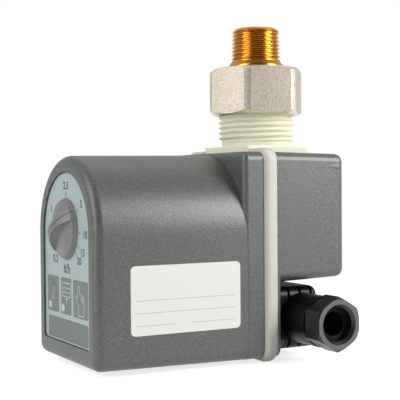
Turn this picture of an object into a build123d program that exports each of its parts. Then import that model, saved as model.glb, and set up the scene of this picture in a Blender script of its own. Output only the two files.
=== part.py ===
from build123d import *
import os
from math import cos, radians, sin, sqrt

# Automatic drain valve: a timer-controlled solenoid valve in a two-part housing.
# Millimetres. The origin is on the inlet's axis at the gauge plane of its taper thread. +Z
# points up along the inlet, -Y towards the control panel and +X towards the cable gland.

os.makedirs("parts", exist_ok=True)

# Main places
nipple_rise = 43.7  # mouth of the nipple above the top of the housing
gauge_length = 6.4  # mouth of the nipple above the thread's gauge plane
joint_setback = 13.9  # housing joint ahead of the inlet axis
case_depth = 58.2  # joint to the front of the case
box_reach = 33.4  # joint to the back of the rear box

# Front case
case_half_front = 24.5
case_half_rear = 25.6
case_drop_front = 66.4
case_drop_rear = 67.3
crown_gap_front = 1.1
crown_gap_rear = 0.6
case_wall = 2.4
front_wall = 3.4
case_corner = 3.6
case_round = 2.8
flange_depth = 7.0
flange_corner = 2.8
flange_round = 1.6
boss_radius = 3.1
boss_length = 20.0
boss_floor = 4.0
pilot_floor = 1.0

# Control panel
panel_half = 19.25
panel_head = 6.25  # top of the recess below the housing top
panel_foot = 60.55
panel_corner = 1.6
overlay_sink = 0.6  # face of the overlay behind the front of the case
overlay_thick = 0.5
overlay_gap = 0.2

# Selector knob, with heights above the overlay
knob_drop = 24.2
knob_radius = 9.8
knob_lift = 0.15
skirt_radius = 8.9
skirt_height = 1.5
cap_height = 3.05  # low dome each side of the grip bar
crest_rim = 1.8
crest_height = 5.6
knob_angle = 37.0  # pointer above the level, at rest
grip_half_top = 1.25
grip_half_foot = 3.3
socket_roof = 0.5
stem_radius = 4.5
stem_length = 5.0
shaft_radius = 3.0

# Lamps and test key
lamp_drop = 49.5
lamp_places = (-14.7, -3.4)
lamp_radius = 1.5
key_x = 11.0
key_drop = 45.6
key_radius = 3.6
key_thick = 1.7
key_reach = 1.2  # stem into the switch
lamp_foot = 0.5
lamp_round = 0.9
switch_side = 6.2
switch_depth = 3.6
switch_bore = 1.8
switch_floor = 0.8

# Potentiometer
pot_radius = 8.2
pot_depth = 6.5
pot_floor = 2.0

# Circuit board
board_gap = 10.2  # front wall to board
board_thick = 1.6
board_half = 18.0
board_head = 13.0
board_corner = 2.0
post_radius = 2.6
post_pilot = 1.2
post_x = 15.0
post_head = 17.0

# Parts behind the board: place across and below the housing top, and size
transformer_place = (-1.5, 49.2)
transformer_size = (29.0, 18.5)
transformer_depth = 17.5
relay_place = (12.8, 21.5)
relay_size = (9.5, 14.0)
terminal_place = (0, 36.0)
terminal_size = (16.0, 6.5)
capacitor_place = (-11.5, 21.5)
capacitor_radius = 4.95
part_fill = 0.62  # share of the room up to the yoke that the low parts take
part_corner = 0.8

# Rear housing
plate_gap = 2.2  # joint to the front of the plate
plate_back = 6.4  # joint to the back of the plate
groove_end = 5.4
groove_depth = 2.0
box_drop_front = 42.8
box_drop_back = 42.1
box_half_back = 25.05
box_sink_back = 0.5
box_corner = 2.8
box_round = 2.8
room_corner = 1.0
opening_corner = 2.0
opening_half = 17.5
opening_head = 4.6
opening_foot = 38.6
bead_rise = 1.3
bead_start = 0.3
bead_round = 1.9
lip_width = 3.4
lip_inset = 0.72

# Case screws
screw_radius = 1.5
head_radius = 2.4
head_height = 2.2
upper_screw = (21.0, 4.9)  # across, and below the housing top
lower_screw = (22.0, 61.8)
well_radius = 3.0
well_wall = 1.2
screw_bite = 4.5
cross_length = 3.2
cross_width = 0.7
cross_depth = 1.0

# Valve body
flange_half = 14.33
flange_front = 0.86
flange_back = 26.28
flange_thick = 2.5
body_flange_corner = 1.2
body_flange_round = 0.5
neck_radius = 12.06
spigot_radius = 13.2
spigot_top = 22.5
spigot_chamfer = 0.8
body_half = 13.0
body_front = 7.4
body_drop = 34.0
bore_radius = 5.0
seat_drop = 19.6
chamber_radius = 8.0
chamber_depth = 8.6
nozzle_radius = 3.6
nozzle_tip = 2.4
orifice_radius = 1.25
outlet_radius = 5.72  # tapping bore of the G1/4 outlet
outlet_depth = 12.0
outlet_boss = 9.0
body_back_y = 12.4
duct_radius = 3.0
duct_over = 2.0
outlet_sink = 0.2

# Solenoid
tube_radius = 6.5
tube_bore = 5.0
tube_cap = 2.0
tube_flange = 9.5
tube_flange_thick = 1.6
clamp_half = 12.6
clamp_thick = 2.5
clamp_pitch = 9.6
clamp_corner = 2.0
clamp_screw_reach = 7.0
plunger_radius = 4.94
plunger_length = 22.0
plunger_travel = 2.0
core_gap = 0.2
seal_radius = 2.6
seal_thick = 2.4
spring_radius = 1.9
spring_wire = 0.35
spring_pocket = 8.0
spring_turns = 7
pocket_radius = 2.6
pocket_step = 1.5
seal_seat = 1.6
ring_wire = 1.0
coil_radius = 13.4
coil_length = 25.0
coil_clearance = 0.15
coil_round = 0.8
yoke_half = 12.0
yoke_thick = 2.4
yoke_drop = 14.6
coil_nut_flats = 13.0
coil_nut_height = 4.5
stud_radius = 3.9
stud_over = 1.2

# Union and inlet nipple
seal_height = 1.5
collar_height = 4.0
collar_radius = 11.9
nut_flats = 30.0
nut_corners = 33.3
nut_bottom = 13.45
nut_top = 29.6
nut_angle = 17.3
nut_relief = 0.3
nut_chamfer = 1.3
nipple_waist = 9.8
shoulder_height = 30.8
cone_height = 1.6
thread_radius = 8.33
thread_chamfer = 0.9
nipple_bore = 5.5

# Plug connector
plug_left = -8.5
plug_right = 20.5
plug_drop = 55.5
plug_height = 20.8
plug_back = 25.5  # joint to the back of the plug
plug_wall = 1.9
plug_round = 3.0
plug_back_round = 2.6
plug_room_corner = 1.5
base_thick = 2.2
base_shrink = 1.2
base_corner = 2.0
base_stub = 8.0
plug_seal = 1.2
seal_lip = 0.5
seal_corner = 1.0
slot_first = 13.3
slot_pitch = 4.5
slot_count = 3
slot_width = 1.0
slot_depth = 0.8
pin_width = 4.8
pin_thick = 0.8
pin_reach = 9.0
pin_spread = 4.6
insert_height = 8.5
insert_half = 8.0
plug_roof = 2.2
pin_slack = 0.25
plug_screw_radius = 1.45
plug_head_radius = 2.9
plug_head_height = 2.0
plug_head_stand = 0.5
plug_screw_past = 2.0  # screw's end beyond the plate's back face
plug_screw_room = 3.0  # hole beyond the base
driver_slot = 0.8
driver_depth = 1.0

# Cable gland
gland_y = 18.3  # joint to the gland axis
boss_outer = 8.4
boss_end = 33.4
gland_thread = 7.2
gland_thread_end = 38.2
gland_bore = 6.1
gland_step = 30.0
gland_step_bore = 5.2
gland_front = 41.4
gland_back = 33.9
collar_length = 2.0
gland_collar = 8.1
gland_flats = 15.8
gland_corners = 18.0
gland_relief = 0.9
cable_bore = 5.5
cable_chamfer = 1.0
cable_grip = 4.0
washer_thick = 0.7

# Rating label
label_length = 38.1
label_height = 21.2
label_thick = 0.12
label_corner = 1.5
label_y = 27.9  # joint to the middle of the label
label_drop = 45.55

# Clearances
running = 0.06
slack = 0.3
over = 1.0  # how far a cut runs on past a face
least_corner = 0.8

# Derived places
housing_top = gauge_length - nipple_rise
joint_y = -joint_setback
front_y = joint_y - case_depth
box_back_y = joint_y + box_reach
plate_front_y = joint_y + plate_gap
plate_back_y = joint_y + plate_back
overlay_y = front_y + overlay_sink
recess_y = overlay_y + overlay_thick
inner_y = front_y + front_wall
board_y = inner_y + board_gap
knob_z = housing_top - knob_drop
seat_z = housing_top - seat_drop
body_front_y = -body_front
outlet_rise = box_back_y - body_back_y - outlet_sink
board_back_y = board_y + board_thick
post_foot = case_drop_front - case_wall - post_radius - slack
board_foot = case_drop_front - case_wall - 2 * slack
clamp_face_y = body_front_y - clamp_thick - tube_flange_thick
yoke_back = clamp_face_y - head_height
coil_back = yoke_back - yoke_thick
coil_front = coil_back - coil_length
yoke_front = coil_front - yoke_thick
part_depth = part_fill * (yoke_front - board_back_y)


def across(y):
    return Plane.XZ.offset(-y)  # u is +X, v is +Z, and it faces -Y


def along_x(x):
    return Plane.YZ.offset(x)  # u is +Y, v is +Z, and it faces +X


def level(height):
    return Plane.XY.offset(housing_top + height)


def case_half(y):
    return case_half_front + (y - front_y) / case_depth * (case_half_rear - case_half_front)


def case_bottom(y):
    drop = case_drop_front + (y - front_y) / case_depth * (case_drop_rear - case_drop_front)
    return housing_top - drop


def crown(y):
    gap = crown_gap_front + (y - front_y) / case_depth * (crown_gap_rear - crown_gap_front)
    return housing_top - gap


def arch(y, half, top, bottom, corner):
    with BuildSketch(across(y)) as outline:
        with BuildLine():
            head = ThreePointArc((-half, top - half), (0, top), (half, top - half))
            Polyline(head @ 1, (half, bottom), (-half, bottom), head @ 0)
        make_face()
        fillet(outline.vertices().group_by(Axis.Y)[0], corner)
    return outline.sketch


def case_section(y, inset, corner):
    return arch(y, case_half(y) - inset, crown(y) - inset, case_bottom(y) + inset, corner)


def plate_outline(y, inset):
    # Square-topped outline of the joint, grown or shrunk all round
    half = case_half_rear - inset
    top = housing_top - inset
    bottom = housing_top - case_drop_rear + inset
    with BuildSketch(across(y)) as outline:
        with Locations((0, (top + bottom) / 2)):
            Rectangle(2 * half, top - bottom)
        corners = outline.vertices().group_by(Axis.Y)
        fillet(corners[-1], max(flange_corner - inset, least_corner))
        fillet(outline.vertices().group_by(Axis.Y)[0], max(case_corner - inset, least_corner))
    return outline.sketch


def box_section(y, half, top, bottom, corner):
    with BuildSketch(across(y)) as outline:
        with Locations((0, (top + bottom) / 2)):
            RectangleRounded(2 * half, top - bottom, corner)
    return outline.sketch


def disc(plane, places, radius):
    with BuildSketch(plane) as dots:
        with Locations(*places):
            Circle(radius)
    return dots.sketch


def save(piece, node):
    piece.part.label = node
    export_step(piece.part, f"parts/{node}.step")


# Front case: tapering arch with a square-topped flange at the joint
upper_screws = [(side * upper_screw[0], housing_top - upper_screw[1]) for side in (-1, 1)]
lower_screws = [(side * lower_screw[0], housing_top - lower_screw[1]) for side in (-1, 1)]
post_places = [
    (side * post_x, housing_top - drop) for side in (-1, 1) for drop in (post_head, post_foot)
]
lamps = [(x, housing_top - lamp_drop) for x in lamp_places]
key_place = (key_x, housing_top - key_drop)

with BuildPart() as flange_form:
    extrude(plate_outline(joint_y, 0), amount=flange_depth)
    fillet(flange_form.faces().sort_by(Axis.Y)[0].edges(), flange_round)

with BuildPart() as front_housing:
    loft([case_section(front_y, 0, case_corner), case_section(joint_y, 0, case_corner)], ruled=True)
    fillet(front_housing.faces().sort_by(Axis.Y)[0].edges(), case_round)
    add(flange_form.part)
    loft(
        [
            case_section(inner_y, case_wall, case_corner - over),
            case_section(joint_y, case_wall, case_corner - over),
        ],
        ruled=True,
        mode=Mode.SUBTRACT,
    )
    # Screw bosses in the lower corners and posts for the board
    extrude(disc(across(joint_y), lower_screws, boss_radius), amount=boss_length)
    extrude(disc(across(board_y), post_places, post_radius), amount=board_gap + slack)
    # Recess for the overlay, and what passes through the front wall
    extrude(
        arch(front_y, panel_half, housing_top - panel_head, housing_top - panel_foot, panel_corner),
        amount=-(overlay_sink + overlay_thick),
        mode=Mode.SUBTRACT,
    )
    extrude(
        disc(across(front_y), [(0, knob_z)], stem_radius + slack),
        amount=-front_wall,
        mode=Mode.SUBTRACT,
    )
    extrude(
        disc(across(front_y), [key_place], key_radius + slack),
        amount=-front_wall,
        mode=Mode.SUBTRACT,
    )
    extrude(
        disc(across(front_y), lamps, lamp_radius + slack), amount=-front_wall, mode=Mode.SUBTRACT
    )
    # Pilot holes
    extrude(
        disc(across(joint_y), upper_screws, screw_radius + running),
        amount=flange_depth - pilot_floor,
        mode=Mode.SUBTRACT,
    )
    extrude(
        disc(across(joint_y), lower_screws, screw_radius + running),
        amount=boss_length - boss_floor,
        mode=Mode.SUBTRACT,
    )
save(front_housing, "front_housing")

# Printed overlay in the recess
with BuildPart() as panel_overlay:
    extrude(
        arch(
            recess_y,
            panel_half - overlay_gap,
            housing_top - panel_head - overlay_gap,
            housing_top - panel_foot + overlay_gap,
            panel_corner,
        ),
        amount=overlay_thick,
    )
    extrude(
        disc(across(recess_y), [(0, knob_z)], stem_radius + slack),
        amount=overlay_thick,
        mode=Mode.SUBTRACT,
    )
save(panel_overlay, "panel_overlay")

# Selector knob: a low drum with a shallow dome, and a grip bar cut from a taller dome
knob_base_y = overlay_y - knob_lift
knob_centre = Vector(0, knob_base_y, knob_z)
knob_plane = Plane(knob_centre, x_dir=(1, 0, 0), z_dir=(0, 0, 1))  # v points into the case
knob_line = Axis(knob_centre, (0, 1, 0))
bar_way = Vector(cos(radians(knob_angle)), 0, sin(radians(knob_angle)))
side_way = Vector(-bar_way.Z, 0, bar_way.X)


def dome(top, rim):
    # Arc from the middle of the knob to its skirt, at heights above the overlay
    rise = top - rim
    radius = (skirt_radius**2 + rise**2) / (2 * rise)
    return RadiusArc((0, knob_lift - top), (skirt_radius, knob_lift - rim), -radius)


with BuildPart() as grip_form:
    with BuildSketch(knob_plane):
        with BuildLine():
            crest = dome(crest_height, crest_rim)
            Polyline(crest @ 1, (knob_radius, 0), (0, 0), crest @ 0)
        make_face()
    revolve(axis=knob_line)
    with BuildSketch(Plane(knob_centre, x_dir=side_way, z_dir=bar_way)):
        with BuildLine():
            Polyline(
                (-grip_half_foot, 0),
                (-grip_half_top, crest_height),
                (grip_half_top, crest_height),
                (grip_half_foot, 0),
                close=True,
            )
        make_face()
    extrude(amount=2 * knob_radius, both=True, mode=Mode.INTERSECT)

with BuildPart() as selector_knob:
    with BuildSketch(knob_plane):
        with BuildLine():
            cap = dome(cap_height, skirt_height)
            Polyline(
                cap @ 1,
                (knob_radius, 0),
                (stem_radius, 0),
                (stem_radius, stem_length),
                (0, stem_length),
                cap @ 0,
            )
        make_face()
    revolve(axis=knob_line)
    add(grip_form.part)
    # Socket for the potentiometer's shaft
    extrude(
        disc(across(knob_base_y + stem_length), [(0, knob_z)], shaft_radius),
        amount=stem_length - socket_roof,
        mode=Mode.SUBTRACT,
    )
save(selector_knob, "selector_knob")

# Potentiometer on the board, and the shaft that the knob turns
pot_front = board_y - pot_depth
with BuildPart() as potentiometer:
    extrude(disc(across(board_y), [(0, knob_z)], pot_radius), amount=pot_depth)
    extrude(
        disc(across(pot_front), [(0, knob_z)], shaft_radius + running),
        amount=-(pot_depth - pot_floor),
        mode=Mode.SUBTRACT,
    )
save(potentiometer, "potentiometer")

with BuildPart() as pot_shaft:
    shaft_end = board_y - pot_floor - slack
    extrude(
        disc(across(shaft_end), [(0, knob_z)], shaft_radius),
        amount=shaft_end - knob_base_y - socket_roof,
    )
save(pot_shaft, "pot_shaft")

# Circuit board on the four posts, with its parts
with BuildPart() as circuit_board:
    with BuildSketch(across(board_back_y)):
        with Locations((0, housing_top - (board_head + board_foot) / 2)):
            RectangleRounded(2 * board_half, board_foot - board_head, board_corner)
        with Locations(*post_places):
            Circle(post_pilot, mode=Mode.SUBTRACT)
    extrude(amount=board_thick)
save(circuit_board, "circuit_board")

with BuildPart() as test_switch:
    with BuildSketch(across(board_y)):
        with Locations(key_place):
            Rectangle(switch_side, switch_side)
    extrude(amount=switch_depth)
    extrude(
        disc(across(board_y - switch_depth), [key_place], switch_bore + running),
        amount=-(switch_depth - switch_floor),
        mode=Mode.SUBTRACT,
    )
save(test_switch, "test_switch")

# Test key behind the overlay: a pad in the wall and a stem into the switch
with BuildPart() as test_key:
    key_front = recess_y + slack
    key_end = board_y - switch_depth + key_reach
    extrude(disc(across(key_front + key_thick), [key_place], key_radius), amount=key_thick)
    extrude(
        disc(across(key_end), [key_place], switch_bore),
        amount=key_end - key_front - key_thick,
    )
save(test_key, "test_key")

for x, node in zip(lamp_places, ("led_power", "led_drain")):
    with BuildPart() as lamp:
        extrude(
            disc(across(board_y), [(x, housing_top - lamp_drop)], lamp_radius + lamp_foot),
            amount=board_gap - slack,
        )
        extrude(
            disc(across(inner_y + slack), [(x, housing_top - lamp_drop)], lamp_radius),
            amount=front_wall - overlay_sink - overlay_thick,
        )
        fillet(lamp.faces().sort_by(Axis.Y)[0].edges(), lamp_round)
    save(lamp, node)


def block(node, place, size, depth):
    # A component on the back of the board: place and size across and down
    with BuildPart() as part:
        with BuildSketch(across(board_back_y)):
            with Locations((place[0], housing_top - place[1])):
                RectangleRounded(size[0], size[1], part_corner)
        extrude(amount=-depth)
        fillet(part.faces().sort_by(Axis.Y)[-1].edges(), part_corner / 2)
    save(part, node)


block("transformer", transformer_place, transformer_size, transformer_depth)
block("relay", relay_place, relay_size, part_depth)
block("terminal_block", terminal_place, terminal_size, part_depth)

with BuildPart() as capacitor:
    can_place = (capacitor_place[0], housing_top - capacitor_place[1])
    extrude(disc(across(board_back_y), [can_place], capacitor_radius), amount=-part_depth)
    fillet(capacitor.faces().sort_by(Axis.Y)[-1].edges(), part_corner)
save(capacitor, "capacitor")

# Rear housing: joint plate, valve box, plug opening and wells for the upper screws
base_centre = ((plug_left + plug_right) / 2, housing_top - plug_drop)
box_mid_drop = (opening_head + opening_foot) / 2

with BuildPart() as box_form:
    box_start = joint_y + groove_end
    loft(
        [
            box_section(
                box_start, case_half_rear, housing_top, housing_top - box_drop_front, box_corner
            ),
            box_section(
                box_back_y,
                box_half_back,
                housing_top - box_sink_back,
                housing_top - box_drop_back,
                box_corner,
            ),
        ],
        ruled=True,
    )
    fillet(box_form.faces().sort_by(Axis.Y)[-1].edges(), box_round)

with BuildPart() as rear_housing:
    extrude(plate_outline(plate_front_y, groove_depth), amount=-(groove_end - plate_gap))
    extrude(plate_outline(joint_y + groove_end, 0), amount=-(plate_back - groove_end))
    add(box_form.part)
    # Room for the valve, reached through the plate
    loft(
        [
            box_section(
                plate_back_y,
                case_half(joint_y) - case_wall,
                housing_top - case_wall,
                housing_top - box_drop_front + case_wall,
                room_corner,
            ),
            box_section(
                box_back_y - case_wall,
                box_half_back - case_wall,
                housing_top - box_sink_back - case_wall,
                housing_top - box_drop_back + case_wall,
                room_corner,
            ),
        ],
        ruled=True,
        mode=Mode.SUBTRACT,
    )
    with BuildSketch(across(plate_front_y)):
        with Locations((0, housing_top - box_mid_drop)):
            RectangleRounded(2 * opening_half, opening_foot - opening_head, opening_corner)
    extrude(amount=-(plate_back - plate_gap), mode=Mode.SUBTRACT)
    # Wells for the upper screws
    extrude(
        disc(across(plate_back_y), upper_screws, well_radius + well_wall),
        amount=-(box_reach - plate_back - box_round),
    )
    extrude(
        disc(across(plate_back_y), upper_screws, well_radius),
        amount=-(box_reach - plate_back),
        mode=Mode.SUBTRACT,
    )
    extrude(
        disc(across(plate_front_y), upper_screws + lower_screws, screw_radius + slack),
        amount=-(plate_back - plate_gap),
        mode=Mode.SUBTRACT,
    )
    # Opening in the top for the valve body and in the back for its outlet
    with BuildSketch(level(0)):
        with Locations((0, (body_back_y - body_front) / 2)):
            Rectangle(2 * (body_half + slack), body_back_y + body_front + 2 * slack)
    extrude(amount=-case_wall - over, mode=Mode.SUBTRACT)
    extrude(
        disc(across(box_back_y), [(0, seat_z)], outlet_boss + slack),
        amount=case_wall + over,
        mode=Mode.SUBTRACT,
    )
    # Opening for the plug's base
    extrude(
        disc(across(plate_back_y), [base_centre], base_stub + slack),
        amount=plate_back - plate_gap,
        mode=Mode.SUBTRACT,
    )
save(rear_housing, "rear_housing")

# Gasket: a lip between the case and the plate, and a rounded bead round the plate's edge
with BuildPart() as bead_form:
    extrude(
        plate_outline(joint_y + bead_start, -bead_rise), amount=-(groove_end - bead_start)
    )
    fillet(bead_form.faces().sort_by(Axis.Y)[0].edges(), bead_round)
    fillet(bead_form.faces().sort_by(Axis.Y)[-1].edges(), bead_round)

with BuildPart() as housing_gasket:
    add(bead_form.part)
    extrude(plate_outline(joint_y, lip_inset), amount=-plate_gap)
    extrude(plate_outline(joint_y, lip_width), amount=-groove_end, mode=Mode.SUBTRACT)
    extrude(
        plate_outline(plate_front_y, groove_depth),
        amount=-(groove_end - plate_gap),
        mode=Mode.SUBTRACT,
    )
    with BuildSketch(level(0)):
        with Locations((0, joint_y + groove_end / 2)):
            Rectangle(2 * (flange_half + slack), 2 * groove_end)
    extrude(amount=2 * bead_rise, mode=Mode.SUBTRACT)
    extrude(
        disc(across(joint_y), upper_screws + lower_screws, screw_radius + slack),
        amount=-plate_gap,
        mode=Mode.SUBTRACT,
    )
save(housing_gasket, "housing_gasket")

# Case screws, in two groups: from the wells, and beside the plug
for node, places in (("upper_case_screws", upper_screws), ("lower_case_screws", lower_screws)):
    with BuildPart() as screws:
        extrude(disc(across(plate_back_y), places, screw_radius), amount=plate_back + screw_bite)
        extrude(disc(across(plate_back_y), places, head_radius), amount=-head_height)
        for x, z in places:
            with BuildSketch(across(plate_back_y + head_height)):
                with Locations((x, z)):
                    Rectangle(cross_length, cross_width)
                    Rectangle(cross_width, cross_length)
            extrude(amount=cross_depth, mode=Mode.SUBTRACT)
    save(screws, node)

# Valve body: flange on the box, spigot above it, seat chamber in front and outlet behind
chamber_back = body_front_y + chamber_depth
nozzle_y = body_front_y + nozzle_tip
with BuildPart() as valve_body:
    with BuildSketch(level(-body_drop)):
        with Locations((0, (body_back_y - body_front) / 2)):
            Rectangle(2 * body_half, body_back_y + body_front)
    extrude(amount=body_drop)
    with BuildSketch(level(0)):
        with Locations((0, joint_y + (flange_front + flange_back) / 2)):
            RectangleRounded(2 * flange_half, flange_back - flange_front, body_flange_corner)
    extrude(amount=flange_thick)
    fillet(valve_body.faces().sort_by(Axis.Z)[-1].edges(), body_flange_round)
    with BuildSketch(level(flange_thick)):
        Circle(neck_radius)
    extrude(amount=spigot_top - flange_thick)
    with BuildSketch(level(nut_bottom + slack)):
        Circle(spigot_radius)
    extrude(amount=spigot_top - nut_bottom - slack)
    chamfer(valve_body.faces().sort_by(Axis.Z)[-1].edges(), spigot_chamfer)
    extrude(disc(across(body_back_y), [(0, seat_z)], outlet_boss), amount=-outlet_rise)
    # Inlet duct, chamber, and the nozzle left standing in it
    with BuildSketch(level(spigot_top)):
        Circle(bore_radius)
    extrude(amount=-(spigot_top + seat_drop - chamber_radius + duct_over), mode=Mode.SUBTRACT)
    extrude(
        disc(across(body_front_y), [(0, seat_z)], chamber_radius),
        amount=-chamber_depth,
        mode=Mode.SUBTRACT,
    )
    extrude(
        disc(across(chamber_back), [(0, seat_z)], nozzle_radius),
        amount=chamber_depth - nozzle_tip,
    )
    extrude(
        disc(across(nozzle_y), [(0, seat_z)], orifice_radius),
        amount=-(body_front + body_back_y),
        mode=Mode.SUBTRACT,
    )
    extrude(
        disc(across(chamber_back + duct_over), [(0, seat_z)], duct_radius),
        amount=-body_back_y,
        mode=Mode.SUBTRACT,
    )
    extrude(
        disc(across(body_back_y + outlet_rise), [(0, seat_z)], outlet_radius),
        amount=outlet_depth,
        mode=Mode.SUBTRACT,
    )
    clamp_places = [
        (dx * clamp_pitch, seat_z + dz * clamp_pitch) for dx in (-1, 1) for dz in (-1, 1)
    ]
    extrude(
        disc(across(body_front_y), clamp_places, screw_radius + running),
        amount=-(clamp_screw_reach + over),
        mode=Mode.SUBTRACT,
    )
save(valve_body, "valve_body")

# Armature tube on the body's front face, sealed by a ring and held by a plate and four screws
tube_front = coil_front + slack
tube_length = body_front_y - tube_front
stud_end = yoke_front - coil_nut_height - stud_over
with BuildPart() as core_tube:
    extrude(disc(across(body_front_y), [(0, seat_z)], tube_flange), amount=tube_flange_thick)
    extrude(disc(across(body_front_y), [(0, seat_z)], tube_radius), amount=tube_length)
    extrude(disc(across(tube_front), [(0, seat_z)], stud_radius), amount=tube_front - stud_end)
    extrude(
        disc(across(body_front_y), [(0, seat_z)], tube_bore),
        amount=tube_length - tube_cap,
        mode=Mode.SUBTRACT,
    )
save(core_tube, "core_tube")

with BuildPart() as tube_clamp:
    with BuildSketch(across(body_front_y)):
        with Locations((0, seat_z)):
            RectangleRounded(2 * clamp_half, 2 * clamp_half, clamp_corner)
            Circle(tube_radius + slack / 2, mode=Mode.SUBTRACT)
        with Locations(*clamp_places):
            Circle(screw_radius + slack / 2, mode=Mode.SUBTRACT)
    extrude(amount=clamp_thick + tube_flange_thick)
    extrude(
        disc(across(body_front_y), [(0, seat_z)], tube_flange + slack / 2),
        amount=tube_flange_thick,
        mode=Mode.SUBTRACT,
    )
save(tube_clamp, "tube_clamp")

with BuildPart() as clamp_screws:
    extrude(
        disc(across(body_front_y + clamp_screw_reach), clamp_places, screw_radius),
        amount=clamp_screw_reach + clamp_thick + tube_flange_thick,
    )
    extrude(disc(across(clamp_face_y), clamp_places, head_radius), amount=head_height)
save(clamp_screws, "clamp_screws")

# Plunger with its rubber face, return spring and the fixed core
plunger_back = nozzle_y - seal_thick
plunger_front = plunger_back - plunger_length
core_back = plunger_front - plunger_travel - core_gap
core_front = tube_front + tube_cap
spring_back = plunger_front + spring_pocket
spring_front = core_back - pocket_step
with BuildPart() as plunger:
    extrude(disc(across(plunger_back), [(0, seat_z)], plunger_radius), amount=plunger_length)
    extrude(
        disc(across(plunger_front), [(0, seat_z)], pocket_radius),
        amount=-spring_pocket,
        mode=Mode.SUBTRACT,
    )
    extrude(
        disc(across(plunger_back), [(0, seat_z)], seal_radius),
        amount=seal_seat,
        mode=Mode.SUBTRACT,
    )
save(plunger, "plunger")

with BuildPart() as plunger_seal:
    extrude(
        disc(across(nozzle_y), [(0, seat_z)], seal_radius), amount=seal_thick + seal_seat
    )
save(plunger_seal, "plunger_seal")

with BuildPart() as fixed_core:
    extrude(
        disc(across(core_back), [(0, seat_z)], tube_bore), amount=core_back - core_front
    )
    extrude(
        disc(across(core_back), [(0, seat_z)], pocket_radius),
        amount=pocket_step,
        mode=Mode.SUBTRACT,
    )
save(fixed_core, "fixed_core")

spring_length = spring_back - spring_front
with BuildPart() as plunger_spring:
    with BuildLine():
        coil_path = Helix(
            pitch=(spring_length - 2 * spring_wire) / spring_turns,
            height=spring_length - 2 * spring_wire,
            radius=spring_radius,
            center=(0, spring_back - spring_wire, seat_z),
            direction=(0, -1, 0),
        )
    with BuildSketch(Plane(coil_path @ 0, z_dir=coil_path % 0)):
        RegularPolygon(spring_wire, 6)
    sweep(path=coil_path, is_frenet=True)
save(plunger_spring, "plunger_spring")

# Seal ring under the tube's flange, in the mouth of the chamber
with BuildPart() as tube_seal:
    with BuildSketch(Plane((0, body_front_y, seat_z), x_dir=(1, 0, 0), z_dir=(0, 0, 1))):
        with Locations((chamber_radius - ring_wire - running, ring_wire)):
            Circle(ring_wire)
    revolve(axis=Axis((0, body_front_y, seat_z), (0, 1, 0)))
save(tube_seal, "tube_seal")

# Coil in its yoke, drawn up by a nut on the tube's stud
with BuildPart() as coil:
    extrude(disc(across(coil_back), [(0, seat_z)], coil_radius), amount=coil_length)
    fillet(coil.edges().filter_by(GeomType.CIRCLE), coil_round)
    extrude(
        disc(across(coil_back), [(0, seat_z)], tube_radius + coil_clearance),
        amount=coil_length,
        mode=Mode.SUBTRACT,
    )
save(coil, "coil")

with BuildPart() as yoke:
    with BuildSketch(along_x(0)):
        with BuildLine():
            Polyline(
                (yoke_back, seat_z + yoke_half),
                (yoke_back, seat_z - yoke_drop - yoke_thick),
                (yoke_front, seat_z - yoke_drop - yoke_thick),
                (yoke_front, seat_z + yoke_half),
                (coil_front, seat_z + yoke_half),
                (coil_front, seat_z - yoke_drop),
                (coil_back, seat_z - yoke_drop),
                (coil_back, seat_z + yoke_half),
                close=True,
            )
        make_face()
    extrude(amount=yoke_half, both=True)
    extrude(
        disc(across(yoke_back), [(0, seat_z)], tube_radius + coil_clearance),
        amount=yoke_thick,
        mode=Mode.SUBTRACT,
    )
    extrude(
        disc(across(coil_front), [(0, seat_z)], stud_radius + coil_clearance),
        amount=yoke_thick,
        mode=Mode.SUBTRACT,
    )
save(yoke, "yoke")

with BuildPart() as coil_nut:
    with BuildSketch(across(yoke_front)):
        with Locations((0, seat_z)):
            RegularPolygon(coil_nut_flats / 2, 6, major_radius=False)
            Circle(stud_radius + running, mode=Mode.SUBTRACT)
    extrude(amount=coil_nut_height)
save(coil_nut, "coil_nut")

# Union: flat seal, turned hexagon nut, and the nipple that the nut holds
with BuildPart() as union_seal:
    with BuildSketch(level(spigot_top)):
        Circle(collar_radius)
        Circle(nipple_bore, mode=Mode.SUBTRACT)
    extrude(amount=seal_height)
save(union_seal, "union_seal")

collar_low = spigot_top + seal_height
collar_top = collar_low + collar_height
with BuildPart() as union_nut:
    with BuildSketch(Plane.XZ):
        with BuildLine():
            low = housing_top + nut_bottom
            high = housing_top + nut_top
            rim = nut_corners / 2
            face = nut_flats / 2 - nut_relief
            Polyline(
                (0, low),
                (face, low),
                (rim, low + nut_chamfer),
                (rim, high - nut_chamfer),
                (face, high),
                (0, high),
                close=True,
            )
        make_face()
    revolve(axis=Axis.Z)
    with BuildSketch(level(nut_bottom)):
        RegularPolygon(nut_flats / 2, 6, major_radius=False, rotation=nut_angle)
    extrude(amount=nut_top - nut_bottom, mode=Mode.INTERSECT)
    with BuildSketch(level(nut_bottom)):
        Circle(spigot_radius + running)
    extrude(amount=collar_top + running - nut_bottom, mode=Mode.SUBTRACT)
    with BuildSketch(level(nut_bottom)):
        Circle(nipple_waist + running)
    extrude(amount=nut_top - nut_bottom, mode=Mode.SUBTRACT)
save(union_nut, "union_nut")

with BuildPart() as inlet_nipple:
    with BuildSketch(Plane.XZ):
        with BuildLine():
            low = housing_top + collar_low
            shoulder = housing_top + shoulder_height
            Polyline(
                (nipple_bore, low),
                (collar_radius, low),
                (collar_radius, housing_top + collar_top),
                (nipple_waist, housing_top + collar_top),
                (nipple_waist, shoulder),
                (thread_radius, shoulder + cone_height),
                (thread_radius, gauge_length - thread_chamfer),
                (thread_radius - thread_chamfer, gauge_length),
                (nipple_bore, gauge_length),
                close=True,
            )
        make_face()
    revolve(axis=Axis.Z)
save(inlet_nipple, "inlet_nipple")

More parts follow.
